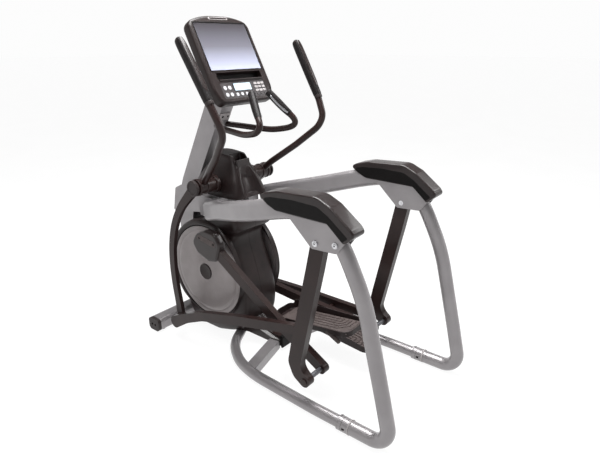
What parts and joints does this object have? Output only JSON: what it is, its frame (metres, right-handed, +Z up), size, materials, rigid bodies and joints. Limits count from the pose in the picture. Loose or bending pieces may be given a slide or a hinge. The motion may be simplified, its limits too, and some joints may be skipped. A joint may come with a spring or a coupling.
{
  "type": "elliptical trainer",
  "caption": "Rear-access elliptical trainer: silver tube frame, hanging pedal arms, front crank drive, moving handlebars and a tilted display console.",
  "frame": {"origin": "on the floor, below the centre of the machine's outline", "axes": "+X to the user's right, +Y the way the user faces (towards the console), +Z up"},
  "size_m": [0.768, 1.6406, 1.7009],
  "materials": {
    "silver_paint": "satin",
    "black_paint": "satin",
    "graphite_plastic": "matte",
    "gloss_plastic": "gloss",
    "cap_plastic": "matte",
    "rubber": "matte",
    "disc_silver": "satin",
    "steel": "brushed",
    "chrome": "polished",
    "cast_iron": "machined",
    "screen_glass": "gloss",
    "keypad_print": "satin",
    "key_white": "satin"
  },
  "bodies": {
    "frame": {"accessory_tray": "gloss_plastic", "base_cover": "graphite_plastic", "bearing_plates": "black_paint", "brake_magnet": "black_paint", "console_back": "graphite_plastic", "console_housing": "graphite_plastic", "console_neck": "graphite_plastic", "cross_tubes": "silver_paint", "drive_belt": "rubber", "front_feet": "rubber", "front_stabilizer": "silver_paint", "gussets": "silver_paint", "handle_axle": "steel", "hanger_axles": "chrome", "hoop_joints": "silver_paint", "keypad_buttons": "key_white", "keypad_panel": "keypad_print", "left_floor_tube": "silver_paint", "left_hoop": "silver_paint", "left_rail": "silver_paint", "left_rail_cover": "gloss_plastic", "left_shroud": "graphite_plastic", "main_spine": "black_paint", "mast": "silver_paint", "mast_side_plates": "silver_paint", "pulse_handlebars": "black_paint", "pulse_sensors": "steel", "rail_brackets": "silver_paint", "right_floor_tube": "silver_paint", "right_hoop": "silver_paint", "right_rail": "silver_paint", "right_rail_cover": "gloss_plastic", "right_shroud": "graphite_plastic", "screen_glass": "screen_glass", "stabilizer_end_caps": "cap_plastic", "upper_shroud": "graphite_plastic"},
    "crank": {"crank_axle": "steel", "drive_pulley": "graphite_plastic", "crank_discs": "disc_silver", "crank_pins": "steel", "disc_caps": "graphite_plastic"},
    "flywheel": {"flywheel": "cast_iron"},
    "left_hanger": {"left_swing_arm": "black_paint"},
    "left_pivot": {"left_pivot_shaft": "steel"},
    "left_support": {"left_support_arm": "black_paint", "left_knuckle_cover": "gloss_plastic"},
    "left_pedal": {"left_pedal_arm": "black_paint", "left_pedal": "graphite_plastic"},
    "left_lever": {"left_handle_lever": "black_paint", "left_handlebar": "black_paint", "left_grip": "rubber"},
    "right_hanger": {"right_swing_arm": "black_paint"},
    "right_pivot": {"right_pivot_shaft": "steel"},
    "right_support": {"right_support_arm": "black_paint", "right_knuckle_cover": "gloss_plastic"},
    "right_pedal": {"right_pedal_arm": "black_paint", "right_pedal": "graphite_plastic"},
    "right_lever": {"right_handle_lever": "black_paint", "right_handlebar": "black_paint", "right_grip": "rubber"}
  },
  "joints": [
    {"name": "crank_spin", "type": "hinge", "parent": "frame", "child": "crank", "pos_m": [0, 0.475, 0.385], "axis": [1, 0, 0], "continuous": true},
    {"name": "flywheel_spin", "type": "hinge", "parent": "frame", "child": "flywheel", "pos_m": [0, 0.4, 0.552], "axis": [1, 0, 0], "continuous": true},
    {"name": "left_swing", "type": "hinge", "parent": "frame", "child": "left_hanger", "pos_m": [-0.342, -0.443, 0.842], "axis": [1, 0, 0], "range_deg": [-17, 17]},
    {"name": "left_pivot_turn", "type": "hinge", "parent": "left_hanger", "child": "left_pivot", "pos_m": [-0.342, -0.37508, 0.165], "axis": [1, 0, 0], "range_deg": [-17, 17]},
    {"name": "left_arm_tilt", "type": "hinge", "parent": "left_pivot", "child": "left_support", "pos_m": [-0.222, -0.37508, 0.165], "axis": [1, 0, 0], "range_deg": [-27.4, 0]},
    {"name": "left_pedal_turn", "type": "hinge", "parent": "left_support", "child": "left_pedal", "pos_m": [-0.26, -0.11031, 0.30817], "axis": [1, 0, 0], "range_deg": [0, 39.18]},
    {"name": "left_lever_swing", "type": "hinge", "parent": "frame", "child": "left_lever", "pos_m": [-0.2, 0.395, 0.895], "axis": [1, 0, 0], "range_deg": [-15.31, 15.31]},
    {"name": "right_swing", "type": "hinge", "parent": "frame", "child": "right_hanger", "pos_m": [0.342, -0.443, 0.842], "axis": [1, 0, 0], "range_deg": [-17, 17]},
    {"name": "right_pivot_turn", "type": "hinge", "parent": "right_hanger", "child": "right_pivot", "pos_m": [0.342, -0.37368, 0.16514], "axis": [1, 0, 0], "range_deg": [-17, 17]},
    {"name": "right_arm_tilt", "type": "hinge", "parent": "right_pivot", "child": "right_support", "pos_m": [0.222, -0.37368, 0.16514], "axis": [1, 0, 0], "range_deg": [0, 27.4]},
    {"name": "right_pedal_turn", "type": "hinge", "parent": "right_support", "child": "right_pedal", "pos_m": [0.26, -0.0727, 0.16846], "axis": [1, 0, 0], "range_deg": [-39.18, 0]},
    {"name": "right_lever_swing", "type": "hinge", "parent": "frame", "child": "right_lever", "pos_m": [0.2, 0.395, 0.895], "axis": [1, 0, 0], "range_deg": [-15.31, 15.31]}
  ],
  "couplings": [
    {"joint": "flywheel_spin", "follows": "crank_spin", "ratio": 5},
    {"joint": "left_pivot_turn", "follows": "left_swing", "ratio": -1},
    {"joint": "left_lever_swing", "follows": "left_swing", "ratio": 0.9},
    {"joint": "right_swing", "follows": "left_swing", "ratio": -1},
    {"joint": "right_pivot_turn", "follows": "left_swing", "ratio": 1},
    {"joint": "right_lever_swing", "follows": "left_swing", "ratio": -0.9},
    {"joint": "left_arm_tilt", "follows": "left_pedal_turn", "ratio": -0.6993},
    {"joint": "right_arm_tilt", "follows": "left_pedal_turn", "ratio": 0.6993},
    {"joint": "right_pedal_turn", "follows": "left_pedal_turn", "ratio": -1}
  ]
}
